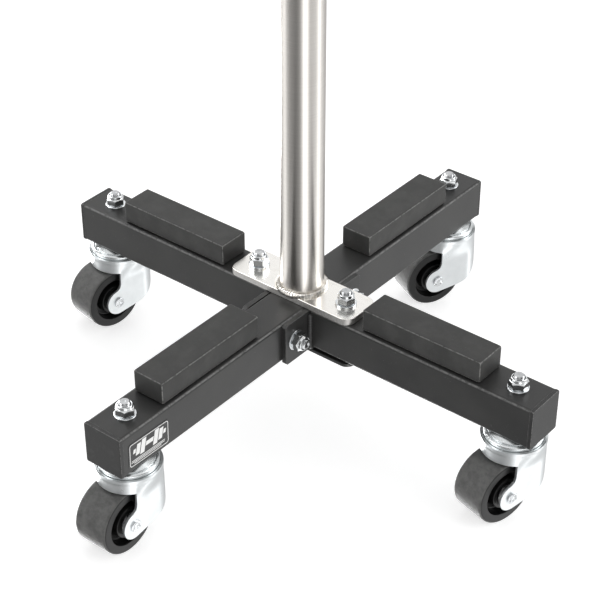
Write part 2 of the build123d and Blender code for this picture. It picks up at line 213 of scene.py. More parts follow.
def pad_rubber():
    """Moulded black rubber: dull, slightly mottled, with a dusty bloom."""
    finish = Finish("pad_rubber", specular_ior_level=0.4)
    grain = finish.cloud(0.8 * MM, 4)
    bloom = finish.cloud(24 * MM, 4, rough=0.6)
    rubber = finish.blend(bloom.above(0.35, 0.72), (0.038, 0.038, 0.037), (0.058, 0.058, 0.056))
    fleck = finish.cloud(1.6 * MM, 2).above(0.69, 0.78)
    # Lightens the rounded edges towards grey: partly edge wear, partly a painted highlight along them.
    rubber = finish.blend(finish.wear_and_edge_highlight(4 * MM) * 0.75, rubber, (0.30, 0.30, 0.29))
    finish.feed(
        base_color=finish.blend(fleck * 0.4, rubber, (0.14, 0.14, 0.135)),
        roughness=0.46 + 0.18 * bloom,
    )
    finish.relief(grain, 0.09 * MM, 0.6)
    return finish


def bond_black():
    finish = Finish("bond", specular_ior_level=0.2)
    grain = finish.cloud(1.2 * MM, 3)
    finish.feed(
        base_color=finish.blend(grain, grey(0.008), grey(0.016)),
        roughness=0.75 + 0.15 * grain,
    )
    return finish


def post_steel():
    """Stainless tube, ground round and round: fine rings, a little uneven, with a warm cast."""
    finish = Finish("post_steel", metallic=1.0, anisotropic=0.85, anisotropic_rotation=0.25)
    rings = finish.cloud(0.8 * MM, 4, (60, 60, 0.5), 0.7)
    drift = finish.cloud(70 * MM, 3, (1, 1, 2.5))
    steel = finish.blend(rings.above(0.3, 0.7), (0.78, 0.75, 0.71), (0.86, 0.83, 0.79))
    finish.feed(
        base_color=finish.blend(drift.above(0.45, 0.8) * 0.5, steel, (0.72, 0.68, 0.63)),
        roughness=0.24 + 0.06 * rings + 0.05 * drift,
    )
    finish.relief(rings, 0.008 * MM, 0.4)
    return finish


def plate_steel():
    """Polished stainless plate: bright and warm, with hairlines and soft smears."""
    finish = Finish("plate_steel", metallic=1.0)
    hairs = finish.cloud(0.5 * MM, 3, (40, 1, 1), 0.7)
    smear = finish.cloud(16 * MM, 4, rough=0.6)
    steel = finish.blend(hairs.above(0.3, 0.7), (0.92, 0.90, 0.86), (0.99, 0.975, 0.94))
    finish.feed(
        base_color=finish.blend(smear.above(0.55, 0.85) * 0.35, steel, (0.76, 0.72, 0.66)),
        roughness=0.14 + 0.12 * smear + 0.06 * hairs,
    )
    finish.relief(0.5 * hairs + smear, 0.03 * MM, 0.35)
    return finish


def cut_edge():
    """The plate's cut side: frosted, with fine upright drag lines."""
    finish = Finish("plate_steel", metallic=1.0)
    drag = finish.cloud(0.35 * MM, 3, (1, 1, 14), 0.7)
    finish.feed(
        base_color=finish.blend(drag.above(0.3, 0.7), (0.62, 0.60, 0.57), (0.86, 0.85, 0.83)),
        roughness=0.42 + 0.2 * drag,
    )
    finish.relief(drag, 0.06 * MM, 0.7)
    return finish


def weld_steel():
    """A bare weld bead: bright crests with straw and grey heat tint between them."""
    finish = Finish("post_bead", metallic=1.0)
    tint = finish.cloud(5 * MM, 4, rough=0.6)
    grain = finish.cloud(0.5 * MM, 4)
    steel = finish.blend(tint.above(0.4, 0.75), (0.88, 0.86, 0.82), (0.62, 0.56, 0.48))
    finish.feed(
        base_color=finish.blend(grain.above(0.5, 0.75) * 0.5, steel, (0.42, 0.41, 0.40)),
        roughness=0.2 + 0.22 * grain,
    )
    finish.relief(grain, 0.08 * MM, 0.5)
    return finish


def zinc(slot, bright, dull, gloss, metallic=1.0):
    """Bright zinc plate: bluish, finely crystalline, with cloudy passivation."""
    finish = Finish(slot, metallic=metallic)
    crystal = finish.cloud(0.6 * MM, 3)
    haze = finish.cloud(14 * MM, 3, rough=0.5)
    plate = finish.blend(haze.above(0.3, 0.75), bright, dull)
    pit = finish.cloud(1.3 * MM, 2).above(0.7, 0.78)
    finish.feed(
        base_color=finish.blend(pit * 0.3, plate, (0.40, 0.41, 0.42)),
        roughness=gloss + 0.1 * haze + 0.06 * crystal,
    )
    finish.relief(crystal, 0.008 * MM, 0.3)
    return finish


def wheel_polymer():
    """Black polyamide wheel: glossy moulded sides and a duller tread, painted lighter grey than the sides as a
    painted highlight and mottled with scuffs.
    """
    finish = Finish("wheel_polymer", specular_ior_level=0.38)
    grain = finish.cloud(0.7 * MM, 3)
    scuff = finish.cloud(9 * MM, 5, rough=0.65)
    tread = finish.node("ShaderNodeAttribute", {"attribute_name": "tread"}, {}, 2)
    side = finish.blend(scuff.above(0.4, 0.75), grey(0.006), grey(0.011))
    # The tread's lighter grey is a painted highlight. The scuff mottling in it is the wheel's own.
    tread_sheen_and_scuff = finish.blend(scuff.above(0.3, 0.7), (0.080, 0.080, 0.078), (0.135, 0.135, 0.132))
    finish.feed(
        base_color=finish.node("ShaderNodeMix", {"data_type": "RGBA"}, {0: tread, 6: side, 7: tread_sheen_and_scuff}, 2),
        roughness=0.26 + 0.12 * scuff + 0.2 * tread,
    )
    finish.relief(0.5 * grain + scuff, 0.03 * MM, 0.4)
    return finish


def nylon():
    finish = Finish("nylon", specular_ior_level=0.5)
    grain = finish.cloud(0.8 * MM, 2)
    finish.feed(
        base_color=finish.blend(grain, (0.035, 0.04, 0.048), (0.06, 0.066, 0.078)),
        roughness=0.38 + 0.15 * grain,
    )
    return finish


def label_ground():
    """The label's glossy black film, slightly rippled over the coat below it."""
    finish = Finish("label", specular_ior_level=0.5, coat_roughness=0.08)
    ripple = finish.cloud(7 * MM, 2)
    finish.feed(
        base_color=finish.blend(ripple, grey(0.016), grey(0.024)),
        roughness=0.24 + 0.1 * ripple,
    )
    finish.relief(ripple, 0.05 * MM, 0.3)
    return finish


def label_ink():
    """The label's white print, a little thin in places."""
    finish = Finish("label", specular_ior_level=0.5)
    cover = finish.cloud(1.5 * MM, 4)
    finish.feed(
        base_color=finish.blend(cover.above(0.55, 0.8), (0.86, 0.86, 0.85), (0.66, 0.66, 0.65)),
        roughness=0.32 + 0.1 * cover,
    )
    return finish


coat = powder_coat()
bead_coat = coated_bead()
plastic = cap_plastic()
rubber = pad_rubber()
bond = bond_black()
ground_steel = post_steel()
polished_steel = plate_steel()
sawn_steel = cut_edge()
bare_weld = weld_steel()
bolt_zinc = zinc("bolt_zinc", (0.66, 0.67, 0.68), (0.50, 0.51, 0.52), 0.16)
nut_zinc = zinc("nut_zinc", (0.88, 0.90, 0.91), (0.78, 0.80, 0.81), 0.06)
washer_zinc = zinc("washer_zinc", (0.86, 0.88, 0.89), (0.74, 0.76, 0.78), 0.12)
disc_zinc = zinc("caster_disc", (0.88, 0.91, 0.92), (0.82, 0.85, 0.86), 0.16, 0.9)
fork_zinc = zinc("fork_zinc", (0.86, 0.89, 0.90), (0.80, 0.83, 0.84), 0.22, 0.82)
rivet_zinc = zinc("rivet_zinc", (0.84, 0.86, 0.87), (0.66, 0.68, 0.70), 0.16)
sleeve_steel = zinc("sleeve_steel", (0.74, 0.74, 0.75), (0.60, 0.60, 0.62), 0.26)
bearing_steel = zinc("bearing_steel", grey(0.80), (0.64, 0.64, 0.65), 0.18)
ball_steel = zinc("ball_steel", (0.80, 0.80, 0.81), (0.70, 0.70, 0.71), 0.10)
polymer = wheel_polymer()
insert = nylon()
label_film = label_ground()
label_print = label_ink()


# ------------ outlines
def rounded(corners, steps=5):
    """A closed outline through corners (x, y, radius), each corner eased by an arc of that radius."""
    outline = []
    for i, (x, y, radius) in enumerate(corners):
        corner = Vector((x, y))
        back = (Vector(corners[i - 1][:2]) - corner).normalized()
        ahead = (Vector(corners[(i + 1) % len(corners)][:2]) - corner).normalized()
        if radius == 0:
            outline.append(corner)
            continue
        half = back.angle(ahead) / 2
        centre = corner + (back + ahead).normalized() * (radius / math.sin(half))
        first = corner + back * (radius / math.tan(half)) - centre
        last = corner + ahead * (radius / math.tan(half)) - centre
        turn = first.angle_signed(last)
        for k in range(steps + 1):
            swing = Matrix.Rotation(-turn * k / steps, 2)
            outline.append(centre + swing @ first)
    return outline


def rounded_rectangle(width, height, radius, steps=6):
    w, h = width / 2, height / 2
    return rounded([(-w, -h, radius), (w, -h, radius), (w, h, radius), (-w, h, radius)], steps)


def along(outline, step):
    """Points about step apart along an open line of points."""
    points = [outline[0]]
    for start, end in zip(outline, outline[1:]):
        count = max(1, round((end - start).length / step))
        points += [start.lerp(end, (k + 1) / count) for k in range(count)]
    return points


# ------------ shapes
def turned(outline, steps=64):
    """A closed outline of (radius, height) points spun about the Z axis."""
    bm = bmesh.new()
    verts = [bm.verts.new((r, 0, z)) for r, z in outline]
    edges = [bm.edges.new((verts[i - 1], verts[i])) for i in range(len(verts))]
    bmesh.ops.spin(
        bm, geom=verts + edges, cent=(0, 0, 0), axis=(0, 0, 1), angle=FULL_TURN, steps=steps, use_merge=True
    )
    bmesh.ops.remove_doubles(bm, verts=bm.verts, dist=0.001 * MM)
    bmesh.ops.recalc_face_normals(bm, faces=bm.faces)
    return bm


def slab(outline, low, high):
    """A flat outline in X and Y made a solid from low to high along Z."""
    bm = bmesh.new()
    face = bm.faces.new([bm.verts.new((x, y, low)) for x, y in outline])
    grown = bmesh.ops.extrude_face_region(bm, geom=[face])
    risen = [g for g in grown["geom"] if isinstance(g, bmesh.types.BMVert)]
    bmesh.ops.translate(bm, verts=risen, vec=(0, 0, high - low))
    bmesh.ops.recalc_face_normals(bm, faces=bm.faces)
    return bm


def ends(bm, z):
    """The edges of the flat face at that height."""
    return [e for e in bm.edges if all(abs(v.co.z - z) < 0.01 * MM for v in e.verts)]


def eased(bm, edges, size, segments=2):
    bmesh.ops.bevel(
        bm, geom=edges, offset=size, segments=segments, profile=0.5, affect="EDGES", material=-1
    )
    return bm


def stamped(pattern, places):
    """The pattern's shape copied to every place in one bmesh."""
    mesh = bpy.data.meshes.new("pattern")
    pattern.to_mesh(mesh)
    pattern.free()
    bm = bmesh.new()
    for place in places:
        copy = mesh.copy()
        copy.transform(place)
        bm.from_mesh(copy)
        bpy.data.meshes.remove(copy)
    bpy.data.meshes.remove(mesh)
    return bm


def joined(shapes):
    """Several bmeshes made one."""
    bm = bmesh.new()
    for shape in shapes:
        mesh = bpy.data.meshes.new("part")
        shape.to_mesh(mesh)
        shape.free()
        bm.from_mesh(mesh)
        bpy.data.meshes.remove(mesh)
    return bm


def weigh_normals(mesh):
    """Weights each corner's normal by face area, so flat faces stay flat right up to their rounds."""
    around = [[] for _ in mesh.vertices]
    for face in mesh.polygons:
        for vert in face.vertices:
            around[vert].append(face)
    near = math.cos(CREASE)
    normals = []
    for face in mesh.polygons:
        for vert in face.vertices:
            joined = (f.normal * f.area for f in around[vert] if f.normal.dot(face.normal) > near)
            normals.append(sum(joined, Vector()).normalized())
    mesh.normals_split_custom_set(normals)


def mark_edges(mesh):
    """Writes how far each point's normal is from the nearest axis: 0 on flats, 1 on rounded edges."""
    edge = mesh.attributes.new("edge", "FLOAT", "POINT")
    for vert, mark in zip(mesh.vertices, edge.data):
        mark.value = (1 - max(abs(c) for c in vert.normal)) / (1 - math.sqrt(0.5))


def piece(name, bm, body, finish, *nodes, edge=0.0, wall=0.0):
    """Makes the bmesh a piece on that body. It stands for the CAD nodes named after the finish."""
    mesh = bpy.data.meshes.new(name)
    bm.to_mesh(mesh)
    bm.free()
    mesh.shade_smooth()
    mesh.set_sharp_from_angle(angle=CREASE)
    mark_edges(mesh)
    if not edge and not wall:
        weigh_normals(mesh)
    mesh.materials.append(finish.material)
    obj = bpy.data.objects.new(name, mesh)
    bpy.context.scene.collection.objects.link(obj)
    if wall:
        solidify = obj.modifiers.new("wall", "SOLIDIFY")
        solidify.thickness = wall
        solidify.offset = -1
    if edge:
        bevel = obj.modifiers.new("edge", "BEVEL")
        bevel.width = edge
        bevel.segments = 2
        bevel.limit_method = "ANGLE"
        bevel.angle_limit = math.radians(35)
        bevel.harden_normals = True
    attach(obj, body)
    if nodes:
        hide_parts(*nodes)
    return obj


def stand_in(node, bm, finish, edge=0.0, wall=0.0):
    """A piece that stands for one CAD node and rides with it."""
    return piece(f"{node}_finished", bm, body_of[node], finish, node, edge=edge, wall=wall)


def bead(bm, path, radius, pitch, ripple=0.14, closed=False):
    """A weld bead along the path: rings of varying size, joined, that overlap like scales."""
    loops = []
    for i, point in enumerate(path):
        ahead = path[(i + 1) % len(path)] if closed or i + 1 < len(path) else point
        behind = path[i - 1] if closed or i > 0 else point
        scale = i * (path[1] - path[0]).length / pitch
        swell = 1 - ripple * (1 - scale % 1) + 0.09 * noise.noise(point / (4 * MM))
        if not closed:
            swell *= min(1, 0.45 + 0.2 * min(i, len(path) - 1 - i))
        place = Matrix.Translation(point) @ (ahead - behind).to_track_quat("Z", "Y").to_matrix().to_4x4()
        ring = bmesh.ops.create_circle(bm, segments=12, radius=radius * swell, matrix=place)["verts"]
        loops.append(list({e for v in ring for e in v.link_edges}))
    pairs = list(zip(loops, loops[1:] + loops[:1] if closed else loops[1:]))
    for first, second in pairs:
        bmesh.ops.bridge_loops(bm, edges=first + second)
    if not closed:
        bmesh.ops.holes_fill(bm, edges=loops[0] + loops[-1])
    bmesh.ops.recalc_face_normals(bm, faces=bm.faces)
    return bm


# ------------ tubes
def size_of(node):
    low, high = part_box(node)
    return high - low


tube_low, tube_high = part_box("through_tube")
TUBE = tube_high.x - tube_low.x
TUBE_CORNER = 4 * MM
TUBE_MIDDLE = (tube_low.z + tube_high.z) / 2
HEADING = {"front": -90, "right": 0, "back": 90, "left": 180}  # degrees from +X


def facing(angle, distance=0.0, height=TUBE_MIDDLE):
    """A place whose Z axis points along that heading and whose Y axis points up."""
    swing = Matrix.Rotation(math.radians(angle), 4, "Z")
    return Matrix.Translation((0, 0, height)) @ swing @ Z_TO_X @ Matrix.Translation((0, 0, distance))


def square_tube(start, end):
    bm = slab(rounded_rectangle(TUBE, TUBE, TUBE_CORNER, 8), start, end)
    return eased(bm, ends(bm, start) + ends(bm, end), 0.5 * MM)


through = square_tube(tube_low.y, tube_high.y)
through.transform(facing(90))
stand_in("through_tube", through, coat)
for side, heading in (("right", 0), ("left", 180)):
    low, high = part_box(f"arm_tube_{side}")
    arm = square_tube(min(abs(low.x), abs(high.x)), max(abs(low.x), abs(high.x)))
    arm.transform(facing(heading))
    stand_in(f"arm_tube_{side}", arm, coat)


# ------------ end caps
def end_cap(start, end):
    """A plug's visible flange, with squarer corners than the tube and a rounded outer edge."""
    bm = slab(rounded_rectangle(TUBE, TUBE, 2.6 * MM, 6), start, end)
    eased(bm, ends(bm, end), 1.3 * MM, 4)
    return eased(bm, ends(bm, start), 0.4 * MM)


for arm in ARMS:
    low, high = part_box(f"end_cap_{arm}")
    reach = max(abs(c) for corner in (low, high) for c in (corner.x, corner.y))
    tube_end = max(abs(c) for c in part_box("through_tube")[1][:2])
    cap = end_cap(tube_end, reach)
    cap.transform(facing(HEADING[arm]))
    stand_in(f"end_cap_{arm}", cap, plastic)


# ------------ flanges and their beads
for side, heading in (("right", 0), ("left", 180)):
    low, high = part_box(f"flange_{side}")
    middle = (low.z + high.z) / 2
    corners = 3 * MM
    outline = rounded_rectangle(high.y - low.y, high.z - low.z, corners, 1)
    near, far = min(abs(low.x), abs(high.x)), max(abs(low.x), abs(high.x))
    flange = slab(outline, near, far)
    eased(flange, ends(flange, near) + ends(flange, far), 0.6 * MM, 3)
    flange.transform(facing(heading, height=middle))
    stand_in(f"flange_{side}", flange, coat)

    off_face = 1.2 * MM
    root = far + off_face
    half = TUBE / 2 + off_face
    top, bottom = TUBE / 2 - TUBE_CORNER, -TUBE / 2 - 0.3 * MM
    above = top + TUBE
    bends = [(-half, above, 0), (-half, bottom, 5 * MM), (half, bottom, 5 * MM), (half, above, 0)]
    line = [p for p in rounded(bends, 8) if p.y < top]
    line = [Vector((-half, top)), *line, Vector((half, top))]
    path = along([Vector((p.x, p.y, root)) for p in line], 0.5 * MM)
    run = bead(bmesh.new(), path, 3.6 * MM, 3.4 * MM)
    run.transform(facing(heading))
    stand_in(f"weld_{side}", run, bead_coat)


# ------------ plates
def plate(node, corner, edge):
    low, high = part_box(node)
    outline = rounded_rectangle(high.x - low.x, high.y - low.y, corner, 12)
    bm = slab(outline, low.z, high.z)
    return eased(bm, ends(bm, low.z) + ends(bm, high.z), edge, 3)


PLATE_CORNER = 11 * MM
foot = stand_in("base_plate", plate("base_plate", PLATE_CORNER, 0.8 * MM), polished_steel)
foot.data.materials.append(sawn_steel.material)
for face in foot.data.polygons:
    face.material_index = int(abs(face.normal.z) < 0.4)
stand_in("support_plate", plate("support_plate", PLATE_CORNER, 0.5 * MM), coat)
frame["nodes"]["support_spacers"].data.materials[0] = coat.material

# ------------ post
post_low, post_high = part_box("post_tube")
POST_R = post_high.x
POST_WALL = 3 * MM
inner = POST_R - POST_WALL
outside = [(POST_R, post_low.z), (POST_R, post_high.z - MM / 2), (POST_R - MM / 2, post_high.z)]
stand_in("post_tube", turned([*outside, (inner, post_high.z), (inner, post_low.z)], 160), ground_steel)

cap_low, cap_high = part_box("post_cap")
plug = inner - 0.2 * MM
DOME = 3 * MM
rim = cap_high.z - DOME
tilts = [k * math.pi / 16 for k in range(9)]
dome = [(POST_R * math.sin(a), rim + DOME * math.cos(a)) for a in tilts]
cap_outline = [*dome, (POST_R, post_high.z), (plug, post_high.z), (plug, cap_low.z), (0, cap_low.z)]
stand_in("post_cap", turned(cap_outline, 96), plastic)

ring_r = POST_R + 1.5 * MM
turns = [k * FULL_TURN / 240 for k in range(240)]
ring = [Vector((ring_r * math.cos(a), ring_r * math.sin(a), post_low.z + 1.0 * MM)) for a in turns]
stand_in("post_weld", bead(bmesh.new(), ring, 4.1 * MM, 3.1 * MM, 0.24, True), bare_weld)


# ------------ rubber blocks
def block(node):
    """A moulded block: rounded along its top, drawn in along its foot."""
    low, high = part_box(node)
    size = high - low
    bm = slab(rounded_rectangle(size.x, size.y, 2.4 * MM, 6), low.z, high.z)
    eased(bm, ends(bm, high.z), 2.4 * MM, 5)
    eased(bm, ends(bm, low.z), 1.8 * MM, 2)
    bmesh.ops.translate(bm, verts=bm.verts, vec=((low.x + high.x) / 2, (low.y + high.y) / 2, 0))
    return bm


for arm in ARMS:
    stand_in(f"pad_{arm}", block(f"pad_{arm}"), rubber)
frame["nodes"]["pad_bonds"].data.materials[0] = bond.material

# ------------ label
label_low, label_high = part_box("label_plate")
label_size = label_high - label_low
label_place = (
    Matrix.Translation((label_low.x, (label_low.y + label_high.y) / 2, (label_low.z + label_high.z) / 2))
    @ Z_TO_X
    @ Matrix.Rotation(math.radians(-1.5), 4, "Z")
)
film = slab(rounded_rectangle(label_size.y, label_size.z, 4 * MM), 0, label_size.x * 0.8)
film.transform(label_place)
stand_in("label_plate", film, label_film)


def printed(outline):
    """A patch of print on the label's face."""
    return slab(outline, label_size.x * 0.78, label_size.x)


def leaning(x, y, width, height, lean=0.22):
    """The outline of an upright bar that leans to the right."""
    shift = lean * height / 2
    w, h = width / 2, height / 2
    corners = [(-w - shift, -h), (w - shift, -h), (w + shift, h), (-w + shift, h)]
    return [(x + cx + lean * y, y + cy) for cx, cy in corners]


def label_artwork():
    """A border, a leaning barbell and three fine rules."""
    border = printed(rounded_rectangle(label_size.y - 3 * MM, label_size.z - 3 * MM, 3 * MM))
    for flat in [f for f in border.faces if len(f.verts) > 4]:
        bmesh.ops.inset_region(border, faces=[flat], thickness=0.8 * MM, depth=0)
    inside = [f for f in border.faces if len(f.verts) > 4]
    bmesh.ops.bridge_loops(border, edges=[e for f in inside for e in f.edges])
    bmesh.ops.delete(border, geom=inside, context="FACES_ONLY")
    shapes = [border]
    middle = 3.6 * MM
    for side in (-1, 1):
        for out, width, height in ((9.5, 6.2, 17), (16.6, 5.6, 13), (22.2, 3.6, 5)):
            shapes.append(printed(leaning(side * out * MM, middle, width * MM, height * MM)))
    shapes.append(printed(leaning(0, middle, 11 * MM, 5 * MM)))
    for rule, length in enumerate((49, 49, 40)):
        shapes.append(printed(leaning(0, (-7.4 - 1.8 * rule) * MM, length * MM, 0.8 * MM)))
    bm = joined(shapes)
    bm.transform(label_place)
    return bm


piece("label_artwork", label_artwork(), "base", label_print)

# ------------ fasteners
BOLT_R = 6 * MM
HEX_FLAT = 9.5 * MM  # half the width across flats
HEX_FACE = HEX_FLAT - 0.5 * MM  # the round end face inside the cone-cut corners
HEX_CORNER = HEX_FLAT / math.cos(math.pi / 6)
THREAD_PITCH = 1.75 * MM
WASHER_T = size_of("caster_washers").z
NUT_H = size_of("caster_nuts").z
NUT_HEX = 8.5 * MM
COLLAR_R = 8.5 * MM
RING_R = 6.9 * MM  # the groove that holds a nut's nylon ring
RING_FOOT = NUT_H - 2.8 * MM
CONE = math.tan(math.radians(30))  # slope of the cut on a hexagon's corners
WASHER_R = 12 * MM
HEAD_H = 7.5 * MM


def hexagonal(bm, low, high):
    """Makes the widest rings of a turned shape a hexagon, with the cone-cut corners of a real one."""
    widest = max(v.co.xy.length for v in bm.verts)
    for v in bm.verts:
        if v.co.xy.length < widest - 0.01 * MM:
            continue
        angle = math.atan2(v.co.y, v.co.x) % (math.pi / 3) - math.pi / 6
        radius = HEX_FLAT / math.cos(angle)
        v.co.xy = v.co.xy.normalized() * radius
        drop = (radius - HEX_FACE) * CONE
        v.co.z = low + drop if v.co.z < (low + high) / 2 else high - drop
    return bm


def nut():
    """A locking nut: hexagon, turned collar, rolled lip, and a bore with a groove for its ring."""
    bore = BOLT_R + 0.1 * MM
    outline = [
        (bore, 0),
        (HEX_FACE, 0),
        (HEX_CORNER, MM),
        (HEX_CORNER, NUT_HEX - MM),
        (HEX_FACE, NUT_HEX),
        (COLLAR_R + 0.15 * MM, NUT_HEX + 0.1 * MM),
        (COLLAR_R, NUT_HEX + 0.4 * MM),
        (COLLAR_R, NUT_H - 1.1 * MM),
        (COLLAR_R - 0.2 * MM, NUT_H - 0.5 * MM),
        (COLLAR_R - 0.6 * MM, NUT_H - 0.12 * MM),
        (COLLAR_R - 1.1 * MM, NUT_H),
        (RING_R + 0.2 * MM, NUT_H),
        (RING_R, NUT_H - 0.3 * MM),
        (RING_R, RING_FOOT),
        (bore, RING_FOOT),
    ]
    return hexagonal(turned(outline, 48), 0, NUT_HEX)


def washer():
    outline = rounded(
        [
            (BOLT_R + 0.5 * MM, 0, 0.2 * MM),
            (WASHER_R, 0, 0.3 * MM),
            (WASHER_R, WASHER_T, 0.7 * MM),
            (BOLT_R + 0.5 * MM, WASHER_T, 0.2 * MM),
        ],
        3,
    )
    return turned(outline, 64)


def insert_ring():
    outer, top = RING_R + 0.05 * MM, NUT_H - 0.9 * MM
    inner = [(BOLT_R + 0.5 * MM, top), (BOLT_R, top - 0.4 * MM)]
    return turned([(BOLT_R, RING_FOOT), (outer, RING_FOOT), (outer, top), *inner], 48)


def threaded(low, high):
    """The outline of a threaded rod: crests and roots up to a chamfered end with a small dimple."""
    outline = [(0, low), (BOLT_R, low)]
    chamfer = 1.4 * MM
    count = int((high - low - chamfer) / THREAD_PITCH)
    start = high - chamfer - count * THREAD_PITCH
    for k in range(count):
        z = start + k * THREAD_PITCH
        outline += [(BOLT_R, z), (BOLT_R, z + 0.25 * MM), (BOLT_R - 0.85 * MM, z + 0.9 * MM)]
    end = [(BOLT_R, high - 1.3 * MM), (BOLT_R, high - 1.0 * MM), (BOLT_R - 1.0 * MM, high)]
    return [*outline, *end, (2.2 * MM, high), (1.2 * MM, high - 0.35 * MM), (0, high - 0.5 * MM)]


def hex_bolt(length):
    """A hexagon-head bolt: its head below the XY plane, its thread above it."""
    head = -HEAD_H
    outline = [
        (0, head + 0.3 * MM),
        (6.6 * MM, head + 0.3 * MM),
        (7.2 * MM, head),
        (HEX_FACE, head),
        (HEX_CORNER, head + MM),
        (HEX_CORNER, -1.4 * MM),
        (HEX_FACE, -0.5 * MM),
        (HEX_FACE - 0.3 * MM, 0),
    ]
    shank = threaded(0, length)[1:]
    return hexagonal(turned([*outline, *shank], 48), head, -0.4 * MM)


def along_x(x, y):
    """A place on a cross bolt's axis whose Z axis points along +X."""
    return Matrix.Translation((x, y, TUBE_MIDDLE)) @ Matrix.Rotation(math.radians(90), 4, "Y")


def upright(x, y, z):
    return Matrix.Translation((x, y, z)) @ Matrix.Rotation(math.radians(11), 4, "Z")


caster_xy = [Vector(joints[f"swivel_{arm}"]["pos_m"][:2]) for arm in ARMS]
cross_low, cross_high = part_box("cross_washers")
cross_y = cross_high.y - WASHER_R
plate_low, plate_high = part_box("plate_washers")
plate_x = plate_high.x - WASHER_R
caster_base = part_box("caster_washers")[0].z

cross_places = [along_x(cross_high.x - WASHER_T, s * cross_y) for s in (1, -1)]
plate_places = [upright(s * plate_x, 0, plate_high.z - WASHER_T) for s in (1, -1)]
caster_places = [upright(x, y, caster_base) for x, y in caster_xy]
under_cross = [along_x(cross_low.x, s * cross_y) for s in (1, -1)]
under_plate = [Matrix.Translation((s * plate_x, 0, plate_low.z)) for s in (1, -1)]
raised = Matrix.Translation((0, 0, WASHER_T))
NUT_TWIST = 0.35  # each nut stopped a little further round than the one before it
HEX_EDGE = 0.22 * MM

for node, places in (("cross", cross_places), ("plate", plate_places), ("caster", caster_places)):
    nuts = [p @ raised @ Matrix.Rotation(NUT_TWIST * k, 4, "Z") for k, p in enumerate(places)]
    stand_in(f"{node}_nuts", stamped(nut(), nuts), nut_zinc, edge=HEX_EDGE)
stand_in("cross_washers", stamped(washer(), cross_places + under_cross), washer_zinc)
stand_in("plate_washers", stamped(washer(), plate_places + under_plate), washer_zinc)
stand_in("caster_washers", stamped(washer(), caster_places), washer_zinc)
rings = [p @ raised for p in cross_places + plate_places + caster_places]
stand_in("nut_inserts", stamped(insert_ring(), rings), insert)

cross_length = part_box("cross_bolts")[1].x - cross_low.x
plate_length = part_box("plate_bolts")[1].z - plate_low.z
stand_in("cross_bolts", stamped(hex_bolt(cross_length), under_cross), bolt_zinc, edge=HEX_EDGE)
stand_in("plate_bolts", stamped(hex_bolt(plate_length), under_plate), bolt_zinc, edge=HEX_EDGE)


# ------------ casters
# Every caster is shaped with its kingpin on the Z axis, its wheel trailing along +X and its
# axle along Y. Lengths in this section's fork functions are in millimetres until they are placed.
def caster_place(arm):
    pin = Vector(joints[f"swivel_{arm}"]["pos_m"])
    hub = Vector(joints[f"spin_{arm}"]["pos_m"])
    trail = hub - pin
    return Matrix.Translation((pin.x, pin.y, 0)) @ Matrix.Rotation(math.atan2(trail.y, trail.x), 4, "Z")


hub_point = Vector(joints["spin_front"]["pos_m"])
TRAIL = (hub_point - Vector(joints["swivel_front"]["pos_m"])).xy.length
AXLE_Z = hub_point.z
on_axle = Matrix.Translation((TRAIL, 0, AXLE_Z)) @ Matrix.Rotation(math.radians(-90), 4, "X")

KINGPIN_R = 8.0
CUP_R = 35.4
LIP = 0.6  # how far the cup's rolled rim stands out
LIP_FOOT = 88.6
LIP_RISE = 1.6
CUP_TOP = 94.0
CUP_FOOT = 77.0
ROUND_DOWN_TO = 91.0  # height where the round cup starts to turn boxed
BOXED_BY = 27.0  # and how far below that it is boxed
LEG_FACE = 29.0  # half the fork's outside width
SHEET = 3.0
LEG_FRONT = math.sqrt(CUP_R**2 - LEG_FACE**2)
LEG_END_R = 16.0
THROAT_R = 10.0
BACK = 34.0
BACK_CORNER = 21.0
HEEL = Vector((2.0, 60.0))
HEEL_R = 35.0
END = Vector((TRAIL / MM, AXLE_Z / MM))
CORNER_START = LEG_FACE - BACK_CORNER
CORNER_END = CORNER_START + BACK_CORNER * math.pi / 2
FLAT_START = BACK_CORNER - BACK  # where the flat leg begins, from the kingpin
FRONT_EDGE = CORNER_END + LEG_FRONT - FLAT_START
CUP_FRONT = FRONT_EDGE * math.pi / (math.pi - math.asin(LEG_FACE / CUP_R))
STRIP = 5.0  # the leg's front strip runs from here to its front edge
FAN_START = CORNER_END + STRIP - FLAT_START


HAIR = 0.001


def smooth(value):
    """0 below 0, 1 above 1, and an S-curve between."""
    value = min(1.0, max(0.0, value))
    return value * value * (3 - 2 * value)


def round_plan(girth):
    """The cup seen from above, at a distance round it from the middle of its back."""
    angle = math.pi - (math.pi - math.asin(LEG_FACE / CUP_R)) * girth / FRONT_EDGE
    return Vector((CUP_R * math.cos(angle), CUP_R * math.sin(angle)))


def boxed_plan(girth):
    """The legs and the back that joins them, seen from above."""
    if girth < CORNER_START:
        return Vector((-BACK, girth))
    if girth > CORNER_END:
        return Vector((FLAT_START + girth - CORNER_END, LEG_FACE))
    angle = math.pi - (girth - CORNER_START) / BACK_CORNER
    corner = Vector((math.cos(angle), math.sin(angle)))
    return Vector((FLAT_START, CORNER_START)) + corner * BACK_CORNER


def pressed(girth, height):
    """A point on the fork's sheet, which passes smoothly from the round cup to the flat legs."""
    if girth > FRONT_EDGE - HAIR and height > CUP_FOOT - HAIR:
        plan = round_plan(girth)
    else:
        plan = round_plan(girth).lerp(boxed_plan(girth), smooth((ROUND_DOWN_TO - height) / BOXED_BY))
    plan = plan * (1 + LIP / CUP_R * smooth((height - LIP_FOOT) / LIP_RISE))
    return Vector((plan.x, plan.y, height)) * MM


def arc(centre, radius, start, end, steps):
    """Points on an arc, angles in degrees."""
    angles = [math.radians(start + (end - start) * k / steps) for k in range(steps + 1)]
    return [centre + radius * Vector((math.cos(a), math.sin(a))) for a in angles]


